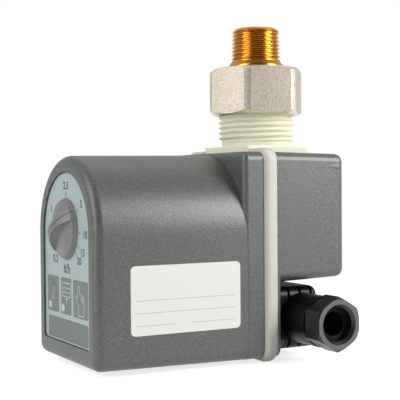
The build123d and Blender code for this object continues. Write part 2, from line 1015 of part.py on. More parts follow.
# Plug base on the plate, with its three flat pins
base_y = plate_back_y + base_thick
plug_y = base_y + plug_seal
plug_back_y = joint_y + plug_back
plug_mid = base_centre
plug_length = plug_right - plug_left
pin_places = [
    (plug_mid[0] - pin_spread, plug_mid[1], 90),
    (plug_mid[0] + pin_spread, plug_mid[1], 90),
    (plug_mid[0], plug_mid[1] - pin_spread, 0),
]
with BuildPart() as plug_base:
    with BuildSketch(across(plate_back_y)):
        with Locations(plug_mid):
            RectangleRounded(
                plug_length - 2 * base_shrink, plug_height - 2 * base_shrink, base_corner
            )
    extrude(amount=-base_thick)
    extrude(disc(across(plate_back_y), [plug_mid], base_stub), amount=plate_back - plate_gap)
    extrude(
        disc(across(base_y), [plug_mid], plug_screw_radius + running),
        amount=base_thick + plug_screw_room,
        mode=Mode.SUBTRACT,
    )
save(plug_base, "plug_base")

with BuildPart() as plug_pins:
    for x, z, turn in pin_places:
        with BuildSketch(across(base_y)):
            with Locations((x, z)):
                Rectangle(pin_width, pin_thick, rotation=turn)
        extrude(amount=-pin_reach)
save(plug_pins, "plug_pins")

with BuildPart() as plug_gasket:
    with BuildSketch(across(base_y)):
        with Locations(plug_mid):
            RectangleRounded(
                plug_length - 2 * base_shrink, plug_height - 2 * base_shrink, base_corner
            )
            RectangleRounded(
                plug_length - 2 * (plug_wall + seal_lip),
                plug_height - 2 * (plug_wall + seal_lip),
                seal_corner,
                mode=Mode.SUBTRACT,
            )
    extrude(amount=-plug_seal)
save(plug_gasket, "plug_gasket")

# Plug housing with grip slots, hollow towards the base, and the cable boss on its side
gland_axis_y = joint_y + gland_y
gland_place = (gland_axis_y, plug_mid[1])
with BuildPart() as plug_housing:
    with BuildSketch(across(plug_y)):
        with Locations(plug_mid):
            RectangleRounded(plug_length, plug_height, plug_round)
    extrude(amount=-(plug_back_y - plug_y))
    fillet(plug_housing.faces().sort_by(Axis.Y)[-1].edges(), plug_back_round)
    # Grip slots run round the top, the end and the foot
    for turn in range(slot_count):
        slot_y = joint_y + slot_first + turn * slot_pitch
        with BuildSketch(across(slot_y + slot_width / 2)):
            with Locations(plug_mid):
                RectangleRounded(2 * plug_length, 2 * plug_height, plug_round)
                RectangleRounded(
                    plug_length - 2 * slot_depth,
                    plug_height - 2 * slot_depth,
                    plug_round - slot_depth,
                    mode=Mode.SUBTRACT,
                )
        extrude(amount=slot_width, mode=Mode.SUBTRACT)
    boss_start = plug_right - plug_round
    extrude(disc(along_x(boss_start), [gland_place], boss_outer), amount=boss_end - boss_start)
    extrude(
        disc(along_x(boss_end), [gland_place], gland_thread), amount=gland_thread_end - boss_end
    )
    with BuildSketch(across(plug_y)):
        with Locations(plug_mid):
            RectangleRounded(
                plug_length - 2 * plug_wall, plug_height - 2 * plug_wall, plug_room_corner
            )
    extrude(amount=-(plug_back_y - plug_y - plug_roof), mode=Mode.SUBTRACT)
    extrude(
        disc(along_x(plug_right - plug_wall - over), [gland_place], gland_step_bore),
        amount=gland_step - plug_right + plug_wall + over,
        mode=Mode.SUBTRACT,
    )
    extrude(
        disc(along_x(gland_step), [gland_place], gland_bore),
        amount=gland_thread_end - gland_step,
        mode=Mode.SUBTRACT,
    )
    extrude(
        disc(across(plug_back_y), [plug_mid], plug_screw_radius + slack / 2),
        amount=plug_back_y - plug_y,
        mode=Mode.SUBTRACT,
    )
    extrude(
        disc(across(plug_back_y), [plug_mid], plug_head_radius + slack),
        amount=plug_head_height - plug_head_stand,
        mode=Mode.SUBTRACT,
    )
save(plug_housing, "plug_housing")

# Contact carrier inside the plug
insert_y = plug_back_y - plug_roof
with BuildPart() as plug_insert:
    with BuildSketch(across(insert_y)):
        with Locations(plug_mid):
            Rectangle(2 * insert_half, 2 * insert_half)
            Circle(plug_screw_radius + slack / 2, mode=Mode.SUBTRACT)
        for x, z, turn in pin_places:
            with Locations((x, z)):
                Rectangle(
                    pin_width + 2 * pin_slack,
                    pin_thick + 2 * pin_slack,
                    rotation=turn,
                    mode=Mode.SUBTRACT,
                )
    extrude(amount=insert_height)
save(plug_insert, "plug_insert")

with BuildPart() as plug_screw:
    head_y = plug_back_y - plug_head_height + plug_head_stand
    extrude(disc(across(head_y), [plug_mid], plug_head_radius), amount=-plug_head_height)
    extrude(
        disc(across(head_y), [plug_mid], plug_screw_radius),
        amount=head_y - plate_back_y + plug_screw_past,
    )
    with BuildSketch(across(head_y + plug_head_height)):
        with Locations(plug_mid):
            Rectangle(3 * plug_head_radius, driver_slot)
    extrude(amount=driver_depth, mode=Mode.SUBTRACT)
save(plug_screw, "plug_screw")

# Cable gland: rubber sleeve, washer, and the pressing nut
with BuildPart() as gland_seal:
    with BuildSketch(along_x(gland_step)):
        with Locations(gland_place):
            Circle(gland_bore - running)
            Circle(cable_grip, mode=Mode.SUBTRACT)
    extrude(amount=gland_thread_end - gland_step)
save(gland_seal, "gland_seal")

with BuildPart() as gland_washer:
    with BuildSketch(along_x(gland_thread_end)):
        with Locations(gland_place):
            Circle(gland_thread - slack)
            Circle(cable_bore, mode=Mode.SUBTRACT)
    extrude(amount=washer_thick)
save(gland_washer, "gland_washer")

gland_line = Axis((0, gland_axis_y, plug_mid[1]), (1, 0, 0))
with BuildPart() as gland_nut:
    with BuildSketch(Plane((0, gland_axis_y, plug_mid[1]), x_dir=(1, 0, 0), z_dir=(0, 1, 0))):
        with BuildLine():
            rim = gland_corners / 2
            Polyline(
                (gland_back, 0),
                (gland_back, -rim),
                (gland_front - gland_relief, -rim),
                (gland_front, gland_relief - rim),
                (gland_front, 0),
                close=True,
            )
        make_face()
    revolve(axis=gland_line)
    with BuildSketch(along_x(gland_back)):
        with Locations(gland_place):
            RegularPolygon(gland_flats / 2, 6, major_radius=False, rotation=30)
    extrude(amount=gland_front - gland_back, mode=Mode.INTERSECT)
    extrude(disc(along_x(gland_back), [gland_place], gland_collar), amount=collar_length)
    extrude(
        disc(along_x(gland_back), [gland_place], gland_thread + running),
        amount=gland_thread_end + washer_thick + running - gland_back,
        mode=Mode.SUBTRACT,
    )
    extrude(
        disc(along_x(gland_back), [gland_place], cable_bore),
        amount=gland_front - gland_back,
        mode=Mode.SUBTRACT,
    )
    mouth = gland_nut.faces().sort_by(Axis.X)[-1].edges().filter_by(GeomType.CIRCLE)
    chamfer(mouth.sort_by(SortBy.RADIUS)[0], cable_chamfer)
save(gland_nut, "gland_nut")

# Bare rating label, laid on the tapering side of the case
label_middle = joint_y - label_y
side_slope = (case_half_rear - case_half_front) / case_depth
with BuildPart() as rating_label:
    with BuildSketch(
        Plane(
            (case_half(label_middle), label_middle, housing_top - label_drop),
            x_dir=(side_slope, 1, 0),
            z_dir=(1, -side_slope, 0),
        )
    ):
        RectangleRounded(label_length, label_height, label_corner)
    extrude(amount=label_thick)
save(rating_label, "rating_label")
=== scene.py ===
from math import atan2, cos, hypot, pi, radians, sin

import bpy
import bmesh
from mathutils import Matrix, Vector
from mathutils.bvhtree import BVHTree


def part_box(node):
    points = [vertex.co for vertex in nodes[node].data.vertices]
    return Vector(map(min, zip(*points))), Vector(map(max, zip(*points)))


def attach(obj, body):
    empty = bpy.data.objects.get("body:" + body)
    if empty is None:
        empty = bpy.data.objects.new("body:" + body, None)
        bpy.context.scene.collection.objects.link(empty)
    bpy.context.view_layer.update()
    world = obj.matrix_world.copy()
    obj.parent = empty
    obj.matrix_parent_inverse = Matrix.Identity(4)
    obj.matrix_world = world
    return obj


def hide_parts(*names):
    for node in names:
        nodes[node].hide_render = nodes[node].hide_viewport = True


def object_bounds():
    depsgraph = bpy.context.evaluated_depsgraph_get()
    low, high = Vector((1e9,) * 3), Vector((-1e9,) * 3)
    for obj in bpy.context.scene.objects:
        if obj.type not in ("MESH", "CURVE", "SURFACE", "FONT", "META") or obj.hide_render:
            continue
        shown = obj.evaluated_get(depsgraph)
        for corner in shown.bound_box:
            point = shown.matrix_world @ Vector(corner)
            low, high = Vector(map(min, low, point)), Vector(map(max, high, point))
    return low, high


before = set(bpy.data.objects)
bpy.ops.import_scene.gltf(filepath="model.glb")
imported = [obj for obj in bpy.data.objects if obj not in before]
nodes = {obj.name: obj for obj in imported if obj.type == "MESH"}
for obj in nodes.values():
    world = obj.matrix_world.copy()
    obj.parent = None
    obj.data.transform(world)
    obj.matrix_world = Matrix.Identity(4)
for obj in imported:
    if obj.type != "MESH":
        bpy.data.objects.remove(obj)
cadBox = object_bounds()
mm = 0.001

# Places that the pieces are set out from
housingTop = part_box("rear_housing")[1].z
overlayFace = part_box("panel_overlay")[0].y
nippleLow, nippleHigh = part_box("inlet_nipple")
nutLow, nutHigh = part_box("union_nut")
labelLow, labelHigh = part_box("rating_label")
print("frame loaded:", len(nodes), "nodes")


camera = {
    "azimuth": 60.75,
    "elevation": 0.94,
    "roll": -0.45,
    "distance": 0.33556,
    "target": (-0.003844, -0.02076, -0.05318),
    "lens": 87.45,
    "sensor": 36.0,
    "clip": (0.01, 20),
}


def wayOut(azimuth, elevation):
    # Unit vector away from the part, square out of the control panel at azimuth 0
    az = radians(azimuth)
    el = radians(elevation)
    return Vector((sin(az) * cos(el), -cos(az) * cos(el), sin(el)))


def makeCamera():
    data = bpy.data.cameras.new("studioCamera")
    data.lens = camera["lens"]
    data.sensor_width = camera["sensor"]
    data.clip_start, data.clip_end = camera["clip"]
    obj = bpy.data.objects.new("studioCamera", data)
    bpy.context.scene.collection.objects.link(obj)
    away = wayOut(camera["azimuth"], camera["elevation"])
    obj.location = Vector(camera["target"]) + away * camera["distance"]
    aim = away.to_track_quat("Z", "Y").to_matrix().to_4x4()
    turn = Matrix.Rotation(radians(camera["roll"]), 4, "Z")
    obj.matrix_world = Matrix.Translation(obj.location) @ aim @ turn
    bpy.context.scene.camera = obj
    return away


towardsCamera = makeCamera()
print("camera set")


studio = {
    "worldGrey": 0.31,
    # brightness of the room in the finishes, behind the part and on the camera's side,
    # and how far towards the camera the one turns into the other
    "backWhite": 0.72,
    "darkSide": 0.07,
    "roomEdge": (-0.15, 0.55),
    "floorColor": (0.62, 0.62, 0.618, 1),
    "floorLift": 0.74,
    "floorSize": 8.0,
    "floorDrop": 0.0001,
    "floorFade": (0.12, 0.30),
    # angle round from the camera, elevation, distance, width, height, watts
    "lamps": {
        "panelSoftbox": (-57, 25, 0.80, 0.44, 0.80, 4.6),
        "sideSoftbox": (71, 23, 0.80, 0.34, 0.46, 6.5),
        "topStrip": (170, 58, 0.85, 0.70, 0.25, 0.4),
    },
}


def makeLamp(name, values):
    around, up, distance, width, height, watts = values
    data = bpy.data.lights.new(name, "AREA")
    data.shape = "RECTANGLE"
    data.size = width
    data.size_y = height
    data.energy = watts
    obj = bpy.data.objects.new(name, data)
    bpy.context.scene.collection.objects.link(obj)
    away = wayOut(camera["azimuth"] + around, up)
    obj.location = Vector(camera["target"]) + away * distance
    obj.rotation_euler = away.to_track_quat("Z", "Y").to_euler()


def eitherRay(tree, first, second):
    # 1 on rays of either kind, otherwise 0
    rays = tree.nodes.new("ShaderNodeLightPath")
    either = tree.nodes.new("ShaderNodeMath")
    either.operation = "MAXIMUM"
    tree.links.new(rays.outputs[first], either.inputs[0])
    tree.links.new(rays.outputs[second], either.inputs[1])
    return either.outputs[0]


def mixOf(tree, share, first, second):
    # The first shader where the share is 0 and the second where it is 1
    mix = tree.nodes.new("ShaderNodeMixShader")
    tree.links.new(share, mix.inputs[0])
    tree.links.new(first, mix.inputs[1])
    tree.links.new(second, mix.inputs[2])
    return mix.outputs[0]


def spreadOf(tree, value, low, high, first=0.0, last=1.0):
    # Maps low..high onto first..last
    spread = tree.nodes.new("ShaderNodeMapRange")
    spread.inputs["From Min"].default_value = low
    spread.inputs["From Max"].default_value = high
    spread.inputs["To Min"].default_value = first
    spread.inputs["To Max"].default_value = last
    tree.links.new(value, spread.inputs["Value"])
    return spread.outputs[0]


def whiteRoom(tree, strength=1.0):
    room = tree.nodes.new("ShaderNodeBackground")
    room.inputs["Color"].default_value = (1, 1, 1, 1)
    room.inputs["Strength"].default_value = strength
    return room


def makeWorld():
    world = bpy.data.worlds.new("studioWorld")
    bpy.context.scene.world = world
    world.use_nodes = True
    tree = world.node_tree
    tree.nodes.clear()
    out = tree.nodes.new("ShaderNodeOutputWorld")
    place = tree.nodes.new("ShaderNodeTexCoord")
    facing = tree.nodes.new("ShaderNodeVectorMath")
    facing.operation = "DOT_PRODUCT"
    facing.inputs[1].default_value = towardsCamera
    tree.links.new(place.outputs["Generated"], facing.inputs[0])
    dim = spreadOf(
        tree, facing.outputs["Value"], *studio["roomEdge"], studio["backWhite"], studio["darkSide"]
    )
    room = whiteRoom(tree)
    tree.links.new(dim, room.inputs["Strength"])
    plain = whiteRoom(tree, studio["worldGrey"])
    rays = tree.nodes.new("ShaderNodeLightPath")
    glossy = mixOf(tree, rays.outputs["Is Glossy Ray"], plain.outputs[0], room.outputs[0])
    seen = eitherRay(tree, "Is Camera Ray", "Is Transmission Ray")
    final = mixOf(tree, seen, glossy, whiteRoom(tree).outputs[0])
    tree.links.new(final, out.inputs[0])


def floorPaper():
    mat = bpy.data.materials.new("floorPaper")
    mat.use_nodes = True
    tree = mat.node_tree
    tree.nodes.clear()
    link = tree.links.new
    out = tree.nodes.new("ShaderNodeOutputMaterial")
    paper = tree.nodes.new("ShaderNodeBsdfDiffuse")
    paper.inputs["Color"].default_value = studio["floorColor"]
    lift = tree.nodes.new("ShaderNodeEmission")
    lift.inputs["Strength"].default_value = studio["floorLift"]
    lit = tree.nodes.new("ShaderNodeAddShader")
    link(paper.outputs[0], lit.inputs[0])
    link(lift.outputs[0], lit.inputs[1])
    seen = eitherRay(tree, "Is Camera Ray", "Is Glossy Ray")
    near = mixOf(tree, seen, paper.outputs[0], lit.outputs[0])
    # Further out the paper turns plain white, as the backdrop is
    place = tree.nodes.new("ShaderNodeTexCoord")
    reach = tree.nodes.new("ShaderNodeVectorMath")
    reach.operation = "LENGTH"
    link(place.outputs["Object"], reach.inputs[0])
    far = tree.nodes.new("ShaderNodeMath")
    far.operation = "MULTIPLY"
    link(spreadOf(tree, reach.outputs["Value"], *studio["floorFade"]), far.inputs[0])
    link(seen, far.inputs[1])
    white = tree.nodes.new("ShaderNodeEmission")
    white.inputs["Strength"].default_value = 1.0
    link(mixOf(tree, far.outputs[0], near, white.outputs[0]), out.inputs[0])
    return mat


def makeFloor():
    half = studio["floorSize"] / 2
    corners = [(-half, -half, 0), (half, -half, 0), (half, half, 0), (-half, half, 0)]
    mesh = bpy.data.meshes.new("floor")
    mesh.from_pydata(corners, [], [(0, 1, 2, 3)])
    mesh.materials.append(floorPaper())
    floor = bpy.data.objects.new("floor", mesh)
    floor.location.z = cadBox[0].z - studio["floorDrop"]
    bpy.context.scene.collection.objects.link(floor)


makeWorld()
makeFloor()
for lampName, lampValues in studio["lamps"].items():
    makeLamp(lampName, lampValues)
bpy.context.scene.view_settings.view_transform = "Standard"
print("studio ready")


class Finish:
    # A node material built up in steps, in the part's own coordinates. Sizes are in millimetres.

    def __init__(self, name, color, rough, metal):
        self.mat = bpy.data.materials.new(name)
        self.mat.use_nodes = True
        self.tree = self.mat.node_tree
        self.shader = self.tree.nodes["Principled BSDF"]
        self.place = self.tree.nodes.new("ShaderNodeTexCoord")
        self.colorOut = None
        self.roughOut = None
        self.color = (*color, 1)
        self.rough = rough
        self.shader.inputs["Base Color"].default_value = self.color
        self.shader.inputs["Roughness"].default_value = rough
        self.shader.inputs["Metallic"].default_value = metal

    def noise(self, size, detail=2.0, rough=0.5, stretch=None):
        # size is about one feature's width
        place = self.place.outputs["Object"]
        if stretch:
            mapping = self.tree.nodes.new("ShaderNodeMapping")
            mapping.inputs["Scale"].default_value = stretch
            self.tree.links.new(place, mapping.inputs["Vector"])
            place = mapping.outputs[0]
        noise = self.tree.nodes.new("ShaderNodeTexNoise")
        noise.inputs["Scale"].default_value = 1 / (size * mm)
        noise.inputs["Detail"].default_value = detail
        noise.inputs["Roughness"].default_value = rough
        self.tree.links.new(place, noise.inputs["Vector"])
        return noise.outputs["Fac"]

    def litEndMask(self, low, high):
        # 1 on the faces that look to +x, where a painted highlight goes
        split = self.tree.nodes.new("ShaderNodeSeparateXYZ")
        self.tree.links.new(self.place.outputs["Normal"], split.inputs[0])
        return spreadOf(self.tree, split.outputs["X"], low, high)

    def tint(self, mask, color):
        # Mixes another colour in where the mask is high
        mix = self.tree.nodes.new("ShaderNodeMix")
        mix.data_type = "RGBA"
        self.tree.links.new(mask, mix.inputs[0])
        if self.colorOut:
            self.tree.links.new(self.colorOut, mix.inputs[6])
        else:
            mix.inputs[6].default_value = self.color
        mix.inputs[7].default_value = (*color, 1)
        self.colorOut = mix.outputs[2]
        self.tree.links.new(self.colorOut, self.shader.inputs["Base Color"])

    def roughen(self, mask, amount):
        # Adds to the roughness where the mask is high
        add = self.tree.nodes.new("ShaderNodeMath")
        add.operation = "MULTIPLY_ADD"
        add.use_clamp = True
        add.inputs[1].default_value = amount
        self.tree.links.new(mask, add.inputs[0])
        if self.roughOut:
            self.tree.links.new(self.roughOut, add.inputs[2])
        else:
            add.inputs[2].default_value = self.rough
        self.roughOut = add.outputs[0]
        self.tree.links.new(self.roughOut, self.shader.inputs["Roughness"])

    def bump(self, height, depth, strength):
        bump = self.tree.nodes.new("ShaderNodeBump")
        bump.inputs["Distance"].default_value = depth * mm
        bump.inputs["Strength"].default_value = strength
        self.tree.links.new(height, bump.inputs["Height"])
        self.tree.links.new(bump.outputs[0], self.shader.inputs["Normal"])


# A look names its noises, as feature size, detail, roughness and stretch. Each tint mixes a colour in:
# noise, the span of it that counts, the share of the colour at both ends, colour.
# A bump is noise, depth and strength.


def sparkLook(color, pale, rough=0.36):
    # Moulded plastic with a fine spark-eroded grain
    return {
        "color": color,
        "rough": rough,
        "noises": {"grain": (0.48, 2, 0.55), "cloud": (12, 2)},
        "tints": (
            ("grain", (0.45, 0.70), (0.0, 0.60), pale),
            ("cloud", (0.35, 0.75), (0.0, 0.16), tuple(0.72 * c for c in color)),
        ),
        "roughened": {"cloud": 0.08},
        "bump": ("grain", 0.07, 0.75),
        "shader": {"Specular IOR Level": 0.8},
    }


def smoothLook(color, rough, dusty=None):
    return {
        "color": color,
        "rough": rough,
        "noises": {"cloud": (6, 3), "fine": (0.5, 2)},
        "tints": (("cloud", (0.35, 0.75), (0.0, 0.4), dusty or tuple(0.85 * c for c in color)),),
        "roughened": {"fine": 0.10},
        "bump": ("fine", 0.02, 0.5),
        "shader": {"Specular IOR Level": 0.2},
    }


def metalLook(color, rough, dark):
    return {
        "color": color,
        "rough": rough,
        "metal": 1.0,
        "noises": {"cloud": (4, 4), "lines": (0.4, 2, 0.5, (1, 1, 8))},
        "tints": (("cloud", (0.45, 0.8), (0.0, 0.6), dark),),
        "roughened": {"cloud": 0.15},
        "bump": ("lines", 0.01, 0.4),
    }


def inkLook(color):
    worn = tuple(min(1.0, 1.5 * c + 0.03) for c in color)
    return {
        "color": color,
        "rough": 0.5,
        "noises": {"wear": (0.5, 3)},
        "tints": (("wear", (0.55, 0.8), (0.0, 0.35), worn),),
        "roughened": {"wear": 0.1},
    }


looks = {
    "housingPlastic": sparkLook((0.050, 0.058, 0.051), (0.152, 0.164, 0.150)),
    "knobPlastic": sparkLook((0.142, 0.147, 0.143), (0.22, 0.226, 0.22), 0.42),
    # Matt polyester overlay with a very fine tooth
    "printedFoil": {
        "color": (0.34, 0.415, 0.41),
        "rough": 0.38,
        "noises": {"tooth": (0.22, 2, 0.6), "cloud": (15, 2)},
        "tints": (
            ("tooth", (0.45, 0.8), (0.0, 0.25), (0.45, 0.55, 0.555)),
            ("cloud", (0.4, 0.8), (0.0, 0.25), (0.31, 0.40, 0.41)),
        ),
        "roughened": {"tooth": 0.08},
        "bump": ("tooth", 0.02, 0.4),
    },
    # Nickel over a grit-blasted casting, with a few dark pits
    "castNickel": {
        "color": (0.81, 0.73, 0.60),
        "rough": 0.27,
        "metal": 1.0,
        "noises": {"grit": (0.60, 3, 0.65), "cloud": (4.5, 3), "pits": (0.9, 2)},
        "tints": (
            ("grit", (0.38, 0.56), (0.50, 0.0), (0.36, 0.31, 0.24)),
            ("cloud", (0.4, 0.75), (0.0, 0.35), (0.60, 0.52, 0.43)),
            ("pits", (0.70, 0.78), (0.0, 0.85), (0.10, 0.08, 0.06)),
        ),
        "roughened": {"cloud": 0.10},
        "bump": ("grit", 0.09, 0.8),
    },
    "turnedBrass": {
        "color": (0.62, 0.31, 0.05),
        "rough": 0.19,
        "metal": 1.0,
        "noises": {"lines": (0.3, 2, 0.5, (0.05, 0.05, 1)), "cloud": (3, 3)},
        "tints": (("cloud", (0.45, 0.8), (0.0, 0.5), (0.38, 0.12, 0.015)),),
        "roughened": {"cloud": 0.12},
        "bump": ("lines", 0.01, 0.5),
    },
    "ivoryNylon": {
        "color": (0.76, 0.75, 0.60),
        "rough": 0.36,
        "noises": {"cloud": (8, 3), "fine": (0.6, 2)},
        "tints": (("cloud", (0.35, 0.75), (0.0, 0.5), (0.74, 0.72, 0.54)),),
        "roughened": {"fine": 0.08},
        "bump": ("fine", 0.02, 0.4),
        "shader": {
            "Subsurface Weight": 0.25,
            "Subsurface Scale": 0.004,
            "Subsurface Radius": (1.0, 0.9, 0.6),
        },
    },
    "gasketRubber": {
        "color": (0.56, 0.55, 0.50),
        "rough": 0.5,
        "noises": {"cloud": (9, 3), "fine": (0.4, 2)},
        "tints": (("cloud", (0.4, 0.8), (0.0, 0.4), (0.46, 0.45, 0.40)),),
        "roughened": {"fine": 0.1},
        "bump": ("fine", 0.02, 0.5),
    },
    "plugNylon": smoothLook((0.004, 0.004, 0.0045), 0.32, (0.012, 0.012, 0.0125)),
    # Satin black with random scuffs; the flat end, which faces +x, is painted grey as a painted
    # highlight from the light on that side
    "glandNylon": {
        "color": (0.005, 0.005, 0.0055),
        "rough": 0.30,
        "noises": {"scuff": (1.2, 4, 0.6)},
        "end": (0.90, 0.99),
        "tints": (
            ("scuff", (0.55, 0.8), (0.0, 0.5), (0.022, 0.022, 0.023)),
            # painted highlight: the end faces are painted grey as if lit from the side
            ("end", (0.0, 1.0), (0.0, 0.85), (0.115, 0.115, 0.115)),
        ),
        "roughened": {"scuff": 0.15, "end": 0.12},
        "bump": ("scuff", 0.02, 0.5),
    },
    "sealRubber": smoothLook((0.004, 0.004, 0.004), 0.65, (0.010, 0.010, 0.010)),
    "brightSteel": metalLook((0.62, 0.62, 0.61), 0.3, (0.40, 0.40, 0.40)),
    "blackSteel": metalLook((0.05, 0.05, 0.05), 0.4, (0.03, 0.03, 0.03)),
    "zincSteel": metalLook((0.66, 0.65, 0.60), 0.35, (0.45, 0.43, 0.38)),
    "componentBlack": smoothLook((0.025, 0.025, 0.026), 0.5),
    "relayBlue": smoothLook((0.02, 0.09, 0.32), 0.4),
    "boardGreen": smoothLook((0.01, 0.13, 0.05), 0.35),
    "whitePlastic": smoothLook((0.75, 0.75, 0.73), 0.4),
    "lampLens": {
        "color": (0.52, 0.50, 0.46),
        "rough": 0.25,
        "noises": {"haze": (0.8, 2)},
        "tints": (("haze", (0.4, 0.8), (0.0, 0.4), (0.46, 0.44, 0.41)),),
        "roughened": {"haze": 0.1},
    },
    "labelFilm": {
        "color": (0.72, 0.72, 0.69),
        "rough": 0.34,
        "noises": {"scuff": (5, 4, 0.6), "fine": (0.5, 2)},
        "tints": (("scuff", (0.62, 0.85), (0.0, 0.35), (0.62, 0.61, 0.58)),),
        "roughened": {"fine": 0.12},
        "bump": ("fine", 0.01, 0.4),
    },
    "darkInk": inkLook((0.045, 0.052, 0.050)),
    "boxInk": inkLook((0.150, 0.176, 0.166)),
    "lightInk": inkLook((0.50, 0.57, 0.56)),
    "ruleInk": inkLook((0.42, 0.42, 0.41)),
    "pointerInk": inkLook((0.050, 0.050, 0.048)),
}


def makeFinish(name, look):
    finish = Finish(name, look["color"], look["rough"], look.get("metal", 0.0))
    masks = {key: finish.noise(*values) for key, values in look["noises"].items()}
    if "end" in look:
        # the end mask marks the faces that get a painted highlight
        masks["end"] = finish.litEndMask(*look["end"])
    for key, span, shares, color in look["tints"]:
        finish.tint(spreadOf(finish.tree, masks[key], *span, *shares), color)
    for key, amount in look["roughened"].items():
        finish.roughen(masks[key], amount)
    if "bump" in look:
        key, depth, strength = look["bump"]
        finish.bump(masks[key], depth, strength)
    for socket, value in look.get("shader", {}).items():
        finish.shader.inputs[socket].default_value = value
    return finish.mat


finishes = {name: makeFinish(name, look) for name, look in looks.items()}

nodeFinish = {
    "housingPlastic": ("front_housing", "rear_housing", "test_key"),
    "knobPlastic": ("selector_knob",),
    "printedFoil": ("panel_overlay",),
    "gasketRubber": ("housing_gasket",),
    "ivoryNylon": ("valve_body",),
    "castNickel": ("union_nut",),
    "turnedBrass": ("inlet_nipple", "coil_nut", "plug_pins"),
    "plugNylon": ("plug_base", "plug_housing", "plug_insert"),
    "glandNylon": ("gland_nut",),
    "sealRubber": (
        "plug_gasket", "gland_seal", "gland_washer", "union_seal", "tube_seal", "plunger_seal",
    ),
    "brightSteel": (
        "core_tube", "fixed_core", "plunger", "plunger_spring", "tube_clamp", "pot_shaft",
    ),
    "blackSteel": ("lower_case_screws", "plug_screw"),
    "zincSteel": ("upper_case_screws", "clamp_screws", "yoke"),
    "componentBlack": ("coil", "transformer", "capacitor", "potentiometer", "test_switch"),
    "relayBlue": ("relay",),
    "boardGreen": ("circuit_board",),
    "whitePlastic": ("terminal_block",),
    "lampLens": ("led_power", "led_drain"),
    "labelFilm": ("rating_label",),
}


def dressNodes():
    for finish, names in nodeFinish.items():
        for name in names:
            obj = nodes[name]
            if not obj.material_slots:
                obj.data.materials.append(finishes[finish])
            for place in obj.material_slots:
                place.material = finishes[finish]


# Widths in millimetres
edgeRounds = {
    "union_nut": 0.30,
    "gland_nut": 0.28,
    "selector_knob": 0.32,
    "valve_body": 0.25,
    "plug_housing": 0.25,
    "coil_nut": 0.25,
}
roundAbove = 28  # degrees between faces


def roundEdges():
    # Moulded and forged pieces have no knife edges
    for name, width in edgeRounds.items():
        soften = nodes[name].modifiers.new("edgeRound", "BEVEL")
        soften.width = width * mm
        soften.segments = 3
        soften.limit_method = "ANGLE"
        soften.angle_limit = radians(roundAbove)
        soften.use_clamp_overlap = True
        soften.harden_normals = True


dressNodes()
roundEdges()
print("finishes on the nodes")


weldGap = 1e-7  # metres


def newPiece(name, verts, faces, finish, body, smooth=True, sharp=40):
    mesh = bpy.data.meshes.new(name)
    mesh.from_pydata(verts, [], faces)
    tidy = bmesh.new()
    tidy.from_mesh(mesh)
    bmesh.ops.remove_doubles(tidy, verts=tidy.verts, dist=weldGap)
    bmesh.ops.dissolve_degenerate(tidy, edges=tidy.edges, dist=weldGap)
    bmesh.ops.recalc_face_normals(tidy, faces=tidy.faces)
    if smooth:
        for face in tidy.faces:
            face.smooth = True
        for edge in tidy.edges:
            if len(edge.link_faces) == 2 and edge.calc_face_angle(0) > radians(sharp):
                edge.smooth = False
    tidy.to_mesh(mesh)
    tidy.free()
    mesh.materials.append(finishes[finish])
    obj = bpy.data.objects.new(name, mesh)
    bpy.context.scene.collection.objects.link(obj)
    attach(obj, body)
    return obj


# Flat at the crest and the root as a share of a turn, and how much of the flank is straight
threadForm = {"flat": 0.10, "straight": 0.55}


def wave(phase):
    # Depth of a thread at a phase from 0 to 1: 0 on the crest, 1 in the root, both rounded
    flat = threadForm["flat"]
    straight = threadForm["straight"]
    side = abs(phase - 0.5) * 2
    slope = min(1.0, max(0.0, (1 - side - flat) / (1 - 2 * flat)))
    return straight * slope + (1 - straight) * (0.5 - 0.5 * cos(pi * slope))


def smoothStep(value, low, high):
    t = min(1.0, max(0.0, (value - low) / (high - low)))
    return t * t * (3 - 2 * t)


def threadedTurning(before, thread, after):
    # Rings of a turned piece, with a thread wound between the plain rings before and after it.
    # A plain ring is (radius, height). The thread's rows follow its helix, and stop flat at both ends.
    count = thread["columns"]
    perPitch = thread["perPitch"]
    pitch = thread["pitch"]
    low = thread["low"]
    high = thread["high"]
    rows = int((high - low) / pitch * perPitch) + perPitch + 2
    columns = []
    for i in range(count):
        angle = 2 * pi * i / count
        lead = pitch * i / count
        column = []
        for radius, height in before:
            column.append((radius * cos(angle), radius * sin(angle), height))
        for j in range(-perPitch, rows):
            wanted = low + pitch * j / perPitch + lead
            height = min(high, max(low, wanted))
            depth = wave((j % perPitch) / perPitch) * thread["depth"]
            depth *= smoothStep(height, low, low + thread["runOut"])
            depth *= 1 - smoothStep(height, high - thread["runIn"], high)
            crest = thread["crest"](height)
            column.append(((crest - depth) * cos(angle), (crest - depth) * sin(angle), height))
        for radius, height in after:
            column.append((radius * cos(angle), radius * sin(angle), height))
        columns.append(column)
    deep = len(columns[0])
    verts = [point for column in columns for point in column]
    faces = []
    first = len(before)
    last = deep - len(after) - 1
    for i in range(count):
        there = (i + 1) % count
        for j in range(deep - 1):
            step = 0
            if there == 0 and first <= j <= last:
                step = perPitch
            upper = min(j + 1 + step, last) if first <= j + 1 <= last else j + 1
            lower = min(j + step, last) if first <= j <= last else j
            face = [i * deep + j, there * deep + lower, there * deep + upper, i * deep + j + 1]
            if len(set(face)) > 2:
                faces.append(list(dict.fromkeys(face)))
    # The low end of the seam, where the first turn starts
    for j in range(first, first + perPitch):
        faces.append([j, j + 1, (count - 1) * deep + first])
    return verts, faces


